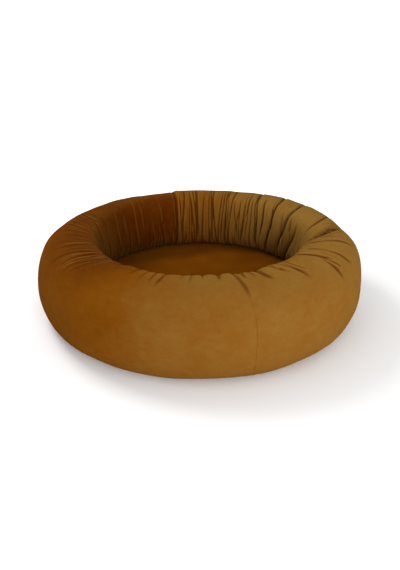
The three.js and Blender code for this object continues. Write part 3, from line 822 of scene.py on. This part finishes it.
# %% [markdown]
# ## The binding inside the floor seam
# The raw edges of the seam are wrapped in a folded cotton tape, which hides under the floor. It is a strip
# carried round the ring with a U-shaped section.

# %% Gather binding
(low_corner, high_corner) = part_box("gather_binding")
binding_points = node_points("gather_binding")
binding_radii = np.hypot(binding_points[:, 0], binding_points[:, 1])
inner, outer = binding_radii.min(), binding_radii.max()
fold_up = np.linspace(0, 1, 12)
bend = np.linspace(0, math.pi, 9)[1:-1]
middle, half_gap = (inner + outer) / 2, (outer - inner) / 2
rise = high_corner[2] - low_corner[2] - half_gap
u_radius = np.concatenate([np.full(12, inner), middle - half_gap * np.cos(bend), np.full(12, outer)])
u_height = np.concatenate([fold_up * rise, rise + half_gap * np.sin(bend), rise * fold_up[::-1]])
spin = np.linspace(0, 2 * math.pi, 720, endpoint=False)[:, None]
wobble = 0.00012 * np.sin(230 * spin) + 0.0001 * np.sin(141 * spin + 1)
u_radius = np.clip(u_radius + wobble, inner, outer)
binding_z = low_corner[2] + u_height + 0 * spin
binding = np.stack([u_radius * np.sin(spin), -u_radius * np.cos(spin), binding_z], -1)
toward = np.stack([np.sin(spin) + 0 * u_radius, -np.cos(spin) + 0 * u_radius, 0 * u_radius], -1)
toward *= np.where(np.arange(u_radius.shape[1]) < 15, -1, 1)[None, :, None]
tape = cloth_piece(
    "gather_binding_tape", binding, toward, 0.0004, bias_tape, "gather_binding", True
)
u_length = np.concatenate([[0], np.cumsum(np.hypot(np.diff(u_height), np.diff(u_radius[0])))])
give_uv(tape, np.stack(np.broadcast_arrays(spin * middle, u_length[None]), -1).reshape(-1, 2))
print("binding is cut", round(u_length[-1] * 1000, 1), "mm wide")

# %% [markdown]
# ## The inserts
# Inside the cover a calico ring holds the loose fibre, and a calico pad lies under the floor. They are seen
# only when the cover is unzipped, but they are what gives the bed its form. The ring insert follows the
# cover: where a crease sinks in, the insert sinks below it.

# %% How deep the cover's creases reach
true_angle = np.arctan2(cloth[..., 0], -cloth[..., 1]) % (2 * math.pi)
cover_depth = ((cloth - smooth_ring) * outward).sum(-1)
INSERT_COLUMNS = 480
insert_angle = np.linspace(0, 2 * math.pi, INSERT_COLUMNS, endpoint=False)
reaches_in = np.zeros((INSERT_COLUMNS, ROWS))
for row in range(ROWS):
    order = np.argsort(true_angle[:, row])
    reaches_in[:, row] = np.interp(insert_angle, true_angle[order, row], cover_depth[order, row])
near = [np.roll(reaches_in, step, 0) for step in range(-4, 5)]
lowest = np.minimum.reduce(near)
lowest = np.minimum.reduce([lowest, np.roll(lowest, 1, 1), np.roll(lowest, -1, 1)])
lowest = np.mean([np.roll(lowest, step, 0) for step in range(-2, 3)], axis=0) - 0.0008


# %% Sections of the inserts, measured on their CAD solids
def node_outline(names, steps):
    """The closed outline of a ring's section, from its CAD points: the farthest points about its middle.
    It starts at the outermost point and goes up."""
    points = np.concatenate([node_points(n) for n in names])
    flat = np.stack([np.hypot(points[:, 0], points[:, 1]), points[:, 2]], 1)
    centre = (flat.min(0) + flat.max(0)) / 2
    bearing = np.degrees(np.arctan2(*(flat - centre).T[::-1])) % 360
    away = np.hypot(*(flat - centre).T)
    slots = (bearing / 2.5).astype(int)
    kept = [np.nonzero(slots == k)[0] for k in np.unique(slots)]
    kept = np.array([k[away[k].argmax()] for k in kept])
    kept = kept[np.argsort(bearing[kept])]
    loop = np.concatenate([flat[kept], flat[kept[:1]]])
    gone = np.concatenate([[0], np.cumsum(np.linalg.norm(np.diff(loop, axis=0), axis=1))])
    at = np.linspace(0, gone[-1], steps, endpoint=False)
    loop = np.stack([np.interp(at, gone, loop[:, k]) for k in (0, 1)], 1)
    for _ in range(6):
        loop = 0.5 * loop + 0.25 * (np.roll(loop, 1, 0) + np.roll(loop, -1, 0))
    return np.roll(loop, -loop[:, 0].argmax(), 0)


def ring_surface(outline, lumpiness, seed):
    """A ring with this section, sunk under the cover's creases and swollen by the fibre's lumps."""
    way = np.roll(outline, -1, 0) - np.roll(outline, 1, 0)
    way /= np.linalg.norm(way, axis=1)[:, None]
    out = np.stack([way[:, 1], -way[:, 0]], 1)
    nearest = np.linalg.norm(outline[:, None] - section[None], axis=2)
    row, gap = nearest.argmin(1), nearest.min(1)
    covered = np.clip(1 - (gap - 0.008) / 0.006, 0, 1)
    sink = np.minimum(lowest[:, row], 0.0) * covered
    spin = insert_angle[:, None]
    lumps = ripples(spin * 0.33 + 0 * sink, np.arange(len(outline))[None] * 0.005 + 0 * sink, 0.05, seed)
    off = sink - lumpiness * (1 - lumps)
    radius, height = outline[:, 0] + out[:, 0] * off, outline[:, 1] + out[:, 1] * off
    ring = np.stack([radius * np.sin(spin), -radius * np.cos(spin), height], -1)
    toward = np.stack([out[:, 0] * np.sin(spin), -out[:, 0] * np.cos(spin), out[:, 1] + 0 * spin], -1)
    return ring, toward


# %% Ring insert
LINER = 0.0007
liner_outline = node_outline(["ring_liner_top", "ring_liner_bottom"], 130)
fill_outline = node_outline(["ring_fill"], 110)
liner_ring, liner_way = ring_surface(liner_outline, 0.0003, 21)
fill_ring, fill_way = ring_surface(fill_outline, 0.0012, 22)
inner_seam = liner_outline[:, 0].argmin()
rows_up = np.arange(0, inner_seam + 1)
rows_down = np.arange(inner_seam, len(liner_outline) + 1) % len(liner_outline)
for name, rows, node, held_by in (
    ("ring_calico_top", rows_up, "ring_liner_top", "ring_fibre"),
    ("ring_calico_bottom", rows_down, "ring_liner_bottom", "velvet_strip_left"),
):
    part = liner_ring[:, rows]
    liner = cloth_piece(name, part, liner_way[:, rows], LINER, calico, node, True)
    width = np.linalg.norm(np.diff(liner_outline[rows], axis=0), axis=1)
    mean_radius = liner_outline[rows, 0].mean()
    run = np.concatenate([[0], np.cumsum(width)])
    along_and_up = np.broadcast_arrays(insert_angle[:, None] * mean_radius, run[None])
    give_uv(liner, np.stack(along_and_up, -1).reshape(-1, 2))
    across = 2 * (mean_radius + run[-1] / 2)
    print(name, "is a flat ring", round(across, 3), "m across and", round(run[-1], 3), "m wide")
stuffing_faces = grid_faces(INSERT_COLUMNS, len(fill_outline), True, True)
fill_round, fill_up = np.roll(fill_ring, -1, 0) - fill_ring, np.roll(fill_ring, -1, 1) - fill_ring
if (np.cross(fill_round, fill_up) * fill_way).sum() < 0:
    stuffing_faces = stuffing_faces[:, ::-1]
ring_fibre = mesh_object("ring_fibre", fill_ring.reshape(-1, 3), stuffing_faces)
ring_fibre.data.materials.append(fibre)
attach(ring_fibre, "bed")
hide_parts("ring_fill")


# %% Floor pad
def pad_profile(names, upper, gap=0.0002):
    """The (radius, height) points of the pad's upper or lower face, from the middle to the side seam."""
    points = np.concatenate([node_points(n) for n in names])
    flat = np.stack([np.hypot(points[:, 0], points[:, 1]), points[:, 2]], 1)
    size, low, high = flat[:, 0].max(), flat[:, 1].min(), flat[:, 1].max()
    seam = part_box("floor_liner_top")[0][2]
    corner = 0.004
    turn = np.linspace(0, math.pi / 2, 12)
    shoulder = flat[flat[:, 0] > size - 0.001, 1].max() if upper else 0
    rim = (shoulder + corner * 0.6) if upper else low
    bent = size - corner + corner * np.sin(turn[1:])
    out = np.concatenate([np.linspace(0, size - corner, 40), bent, [size]])
    if upper:
        crown = high - (high - rim) * (np.linspace(0, 1, 40) ** 2)
        down = rim - corner * (1 - np.cos(turn[1:]))
    else:
        crown = np.full(40, low)
        down = low + corner * (1 - np.cos(turn[1:]))
    return out, np.concatenate([crown, down, [seam + (gap if upper else -gap)]])


def pad_surface(count, profile, seed, lumpiness):
    """A disc laid over a round profile: the distance from the middle runs along the profile."""
    out, height = profile
    gone = np.concatenate([[0], np.cumsum(np.hypot(np.diff(out), np.diff(height)))])
    x, y = disc_grid(count, 1.0)
    share = np.hypot(x, y)
    run = share * gone[-1]
    radius = np.interp(run, gone, out)
    scale = radius / np.maximum(share, 1e-9)
    x, y, z = x * scale, y * scale, np.interp(run, gone, height)
    z = z + lumpiness * (ripples(x, y, 0.07, seed) - 1) * (1 - share**8) * np.sign(height[0] - height[-1])
    return np.stack([x, y, z], -1), gone[-1]


for name, node, upper, under in (
    ("floor_pad_top", "floor_liner_top", True, "floor_pad_fibre"),
    ("floor_pad_bottom", "floor_liner_bottom", False, "base_cloth_front"),
):
    pad, flat_radius = pad_surface(150, pad_profile([node], upper), 31 + upper, 0.0003)
    side = cloth_piece(name, pad, UP if upper else -UP, LINER, calico, node)
    give_uv(side, pad[..., :2].reshape(-1, 2))
    print(name, "is a disc", round(2 * flat_radius, 3), "m across")

# %% Floor pad's fibre
upper_fill, _ = pad_surface(120, pad_profile(["floor_fill"], True, 0), 41, 0.0008)
lower_fill, _ = pad_surface(120, pad_profile(["floor_fill"], False, 0), 42, 0.0004)
fill_points = np.concatenate([upper_fill.reshape(-1, 3), lower_fill.reshape(-1, 3)])
up_faces = grid_faces(120, 120)
if np.cross(upper_fill[61, 60] - upper_fill[60, 60], upper_fill[60, 61] - upper_fill[60, 60])[2] < 0:
    up_faces = up_faces[:, ::-1]
both_faces = np.concatenate([up_faces, up_faces[:, ::-1] + 120 * 120])
pad_fibre = mesh_object("floor_pad_fibre", fill_points, both_faces)
edit = bmesh.new()
edit.from_mesh(pad_fibre.data)
bmesh.ops.remove_doubles(edit, verts=edit.verts, dist=0.0001)
edit.to_mesh(pad_fibre.data)
edit.free()
pad_fibre.data.materials.append(fibre)
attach(pad_fibre, "bed")
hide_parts("floor_fill")

# %% [markdown]
# ## The base
# Two half discs of coated cloth make the base. A ring of it lies on the ground, and the middle rises into a
# shallow recess that keeps the zip off the floor. Rubber dots are printed on the cloth to stop it sliding.

# %% Base cloths
BASE_RADIUS = np.hypot(*node_points("base_panel_front")[:, :2].T).max()
tape_low, tape_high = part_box("zip_tape_front")
RECESS_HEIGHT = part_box("base_panel_front")[1][2] - 0.0015
FOOT_LIFT = 0.0004  # the grip dots' height: they touch the ground and hold the cloth just off it
base_points = node_points("base_panel_front")
base_r = np.hypot(base_points[:, 0], base_points[:, 1])
FOOT_INNER = base_r[base_points[:, 2] < 0.0001].min()
RECESS_RADIUS = FOOT_INNER - 0.028
window = base_points[(np.abs(base_points[:, 1]) < 0.02) & (base_r < RECESS_RADIUS - 0.005)]
WINDOW_LENGTH, WINDOW_HALF = np.abs(window[:, 0]).max(), np.abs(window[:, 1]).max()
print("base radius", round(BASE_RADIUS, 4), "foot from", round(FOOT_INNER, 4))
print("window", round(2 * WINDOW_LENGTH, 4), "by", round(2 * WINDOW_HALF, 4))


def base_height(radius):
    """The base cloth's height: level in the recess, a smooth slope, then flat on the ground."""
    slope = np.clip((radius - RECESS_RADIUS) / (FOOT_INNER - RECESS_RADIUS), 0, 1)
    return FOOT_LIFT + (RECESS_HEIGHT - FOOT_LIFT) * (1 - slope * slope * (3 - 2 * slope))


def half_disc(side, columns=300, rows=90):
    """Half of the base: lines from the zip window's edge to the rim, evenly spaced along both."""
    along = np.linspace(math.pi, 0, columns)[:, None]
    out = np.linspace(0, 1, rows)[None]
    edge_x = (BASE_RADIUS - 0.002) * np.cos(along)
    edge_y = np.where(np.abs(edge_x) < WINDOW_LENGTH, WINDOW_HALF, 0.0002)
    rim_x, rim_y = BASE_RADIUS * np.cos(along), np.maximum(BASE_RADIUS * np.sin(along), 0.0004)
    x, y = edge_x + (rim_x - edge_x) * out, (edge_y + (rim_y - edge_y) * out) * side
    z = base_height(np.hypot(x, y))
    away = np.hypot(x, y)
    loose = np.clip((away - 0.05) / 0.05, 0, 1) * np.clip((BASE_RADIUS - away) / 0.05, 0, 1)
    loose = loose * np.clip((np.abs(y) - 0.018) / 0.03, 0, 1)
    z += 0.0006 * (1 + ripples(x, y, 0.06, 51)) * loose * np.clip(z / RECESS_HEIGHT - 0.1, 0, 1)
    return np.stack([x, y, z], -1)


for name, node, side in (
    ("base_cloth_front", "base_panel_front", -1),
    ("base_cloth_rear", "base_panel_rear", 1),
):
    half = half_disc(side)
    base = cloth_piece(name, half, -UP, 0.0011, base_cloth, node)
    give_uv(base, half[..., :2].reshape(-1, 2))

# %% Grip dots
DOT_RADIUS, DOT_RISE, DOT_SPACING = 0.0016, FOOT_LIFT, 0.012
bearing = np.linspace(0, 2 * math.pi, 8, endpoint=False)
rings = [(1.0, 0.0), (0.8, 0.75), (0.35, 1.0)]
dot = np.array([
    (DOT_RADIUS * r * math.cos(a), DOT_RADIUS * r * math.sin(a), DOT_RISE * h)
    for r, h in rings for a in bearing
])
dot_faces = [
    (8 * k + i, 8 * k + (i + 1) % 8, 8 * k + 8 + (i + 1) % 8, 8 * k + 8 + i)
    for k in (0, 1) for i in range(8)
]
dot_faces += [(16, 17, 18, 19), (16, 19, 20, 23), (20, 21, 22, 23)]
dot_faces += [(3, 2, 1, 0), (7, 4, 3, 0), (7, 6, 5, 4)]
count = int(BASE_RADIUS / DOT_SPACING) + 2
i, j = np.meshgrid(np.arange(-count, count), np.arange(-count, count), indexing="ij")
dot_x = ((i + 0.5 * (j % 2)) * DOT_SPACING).ravel()
dot_y = (j * DOT_SPACING * math.sqrt(0.75) + 0.005).ravel()
dot_r = np.hypot(dot_x, dot_y)
flat_there = (dot_r < RECESS_RADIUS - 0.006) | ((dot_r > FOOT_INNER + 0.004) & (dot_r < BASE_RADIUS - 0.006))
kept_dots = flat_there & (np.abs(dot_y) > tape_high[1] + 0.02)
for name, side in (("front", -1), ("rear", 1)):
    mine = kept_dots & (np.sign(dot_y) == side)
    level = base_height(dot_r[mine])
    places = np.stack([dot_x[mine], dot_y[mine], level], 1)
    turns = np.broadcast_to(np.diag([1.0, -1.0, -1.0]), (mine.sum(), 3, 3))
    dots = joined_copies(f"grip_dots_{name}", dot, dot_faces, (places, turns), grip_rubber)
print("grip dots:", int(kept_dots.sum()))

# %% [markdown]
# ## The zip
# The cover opens along a coil zip in the base. Its tapes are sewn behind the window's edges with two rows of
# lockstitch each, and each coil is one nylon filament wound into loops.

# %% Zip tapes
tape_width, tape_length = tape_high[1] - tape_low[1], tape_high[0] - tape_low[0]
tape_steps = np.linspace(tape_low[0], tape_high[0], 500)
tape_x, tape_y = np.meshgrid(tape_steps, np.linspace(0, 1, 15), indexing="ij")
for name, node, side in (
    ("zip_tape_cloth_front", "zip_tape_front", -1),
    ("zip_tape_cloth_rear", "zip_tape_rear", 1),
):
    from_middle = abs(tape_high[1]) + tape_width * tape_y
    near_stitches = np.exp(-(((from_middle - 0.0105) / 0.002) ** 2))
    dimple = 0.00008 * np.sin(tape_x * 2 * math.pi / 0.0032) * near_stitches
    strip = np.stack([tape_x, side * from_middle, tape_low[2] + np.abs(dimple)], -1)
    thickness = tape_high[2] - tape_low[2] - 0.0001
    tape = cloth_piece(name, strip, -UP, thickness, zip_tape_cloth, node)
    give_uv(tape, strip[..., :2].reshape(-1, 2))


# %% Tubes along a path
def tube(name, path, radius, sides, material, node):
    """A round thread along a path of points: a small circle square to the path at each point."""
    way = np.gradient(path, axis=0)
    way /= np.linalg.norm(way, axis=1)[:, None]
    across = np.cross(way, (1.0, 0.0, 0.0))
    across /= np.linalg.norm(across, axis=1)[:, None]
    above = np.cross(way, across)
    spin = np.linspace(0, 2 * math.pi, sides, endpoint=False)
    circle = across[:, None] * np.cos(spin)[None, :, None] + above[:, None] * np.sin(spin)[None, :, None]
    taper = np.ones(len(path))
    taper[0] = taper[-1] = 0.25
    points = path[:, None] + circle * (radius * taper)[:, None, None]
    faces = grid_faces(len(path), sides, False, True)[:, ::-1]
    piece = mesh_object(name, points.reshape(-1, 3), faces)
    edit = bmesh.new()
    edit.from_mesh(piece.data)
    bmesh.ops.holes_fill(edit, edges=[e for e in edit.edges if e.is_boundary])
    bmesh.ops.recalc_face_normals(edit, faces=edit.faces)
    edit.to_mesh(piece.data)
    edit.free()
    piece.data.materials.append(material)
    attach(piece, "bed")
    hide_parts(node)
    return piece


# %% Coils
COIL_PITCH, FILAMENT_RADIUS, COIL_STEPS = 0.0013, 0.0003, 10
for name, node, side, phase in (
    ("zip_coil_loops_front", "zip_coil_front", -1, 0.0),
    ("zip_coil_loops_rear", "zip_coil_rear", 1, math.pi),
):
    coil_low, coil_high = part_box(node)
    loops = int((coil_high[0] - coil_low[0] - 2 * FILAMENT_RADIUS) / COIL_PITCH)
    run = np.linspace(0, 1, loops * COIL_STEPS + 1)
    wound = 2 * math.pi * loops * run
    far, near_middle = max(abs(coil_low[1]), abs(coil_high[1])), 0.00065
    half_wide = (far - near_middle) / 2 - FILAMENT_RADIUS
    half_tall = (coil_high[2] - coil_low[2]) / 2 - FILAMENT_RADIUS
    x = coil_low[0] + FILAMENT_RADIUS + run * loops * COIL_PITCH
    y = side * ((far + near_middle) / 2 + half_wide * np.cos(wound + phase))
    z = (coil_low[2] + coil_high[2]) / 2 + half_tall * np.sin(wound + phase)
    tube(name, np.stack([x, y, z], 1), FILAMENT_RADIUS, 5, nylon, node)
    print(name, "has", loops, "loops")


# %% Stitches
def stitch_row(name, places, ways, length=0.0027, radius=0.00026):
    """A row of lockstitch: each stitch is a short thread that dips into the cloth at both ends."""
    along = np.array([-1, -0.8, 0, 0.8, 1]) * length / 2
    size, dip = radius * np.array([0.4, 0.9, 1, 0.9, 0.4]), radius * np.array([1.2, 0.4, 0, 0.4, 1.2])
    spin = np.linspace(0, 2 * math.pi, 6, endpoint=False)
    one = np.stack([np.repeat(along, 6), np.outer(size, np.cos(spin)).ravel(),
                    np.outer(size, np.sin(spin)).ravel() - np.repeat(dip, 6)], 1)
    faces = [tuple(f) for f in grid_faces(5, 6, False, True)[:, ::-1]]
    faces += [(0, 1, 2, 3), (0, 3, 4, 5), (27, 26, 25, 24), (29, 28, 27, 24)]
    down = np.broadcast_to([0, 0, -1.0], ways.shape)
    turns = np.stack([ways, np.cross(down, ways), down], axis=2)
    piece = joined_copies(name, one, faces, (places, turns), thread)
    return piece


STITCH_SPACING = 0.0033
stitch_x = np.arange(tape_low[0] + 0.006, tape_high[0] - 0.006, STITCH_SPACING)
for name, side in (("front", -1), ("rear", 1)):
    lines = [side * WINDOW_HALF + side * inset for inset in (0.0025, 0.0065)]
    x, y = np.meshgrid(stitch_x, lines, indexing="ij")
    places = np.stack([x.ravel(), y.ravel(), np.full(x.size, base_height(0.0) - 0.0001)], 1)
    stitch_row(f"zip_stitches_{name}", places, np.broadcast_to([1.0, 0, 0], places.shape))
hem_radius = BASE_RADIUS - 0.004
spin = np.linspace(0, 2 * math.pi, int(2 * math.pi * hem_radius / STITCH_SPACING), endpoint=False)
places = np.stack([hem_radius * np.cos(spin), hem_radius * np.sin(spin), 0 * spin + FOOT_LIFT], 1)
stitch_row("base_hem_stitches", places, np.stack([-np.sin(spin), np.cos(spin), 0 * spin], 1))

# %% Metal pieces keep their CAD shape
for name in ("zip_stop_closed_end", "zip_stop_open_end", "zip_slider", "zip_pull"):
    metal_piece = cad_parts[name]
    metal_piece.data.materials.clear()
    metal_piece.data.materials.append(nickel)
left_plain = [n for n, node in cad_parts.items() if not node.hide_render and not node.data.materials]
print("CAD nodes without a finish:", left_plain)
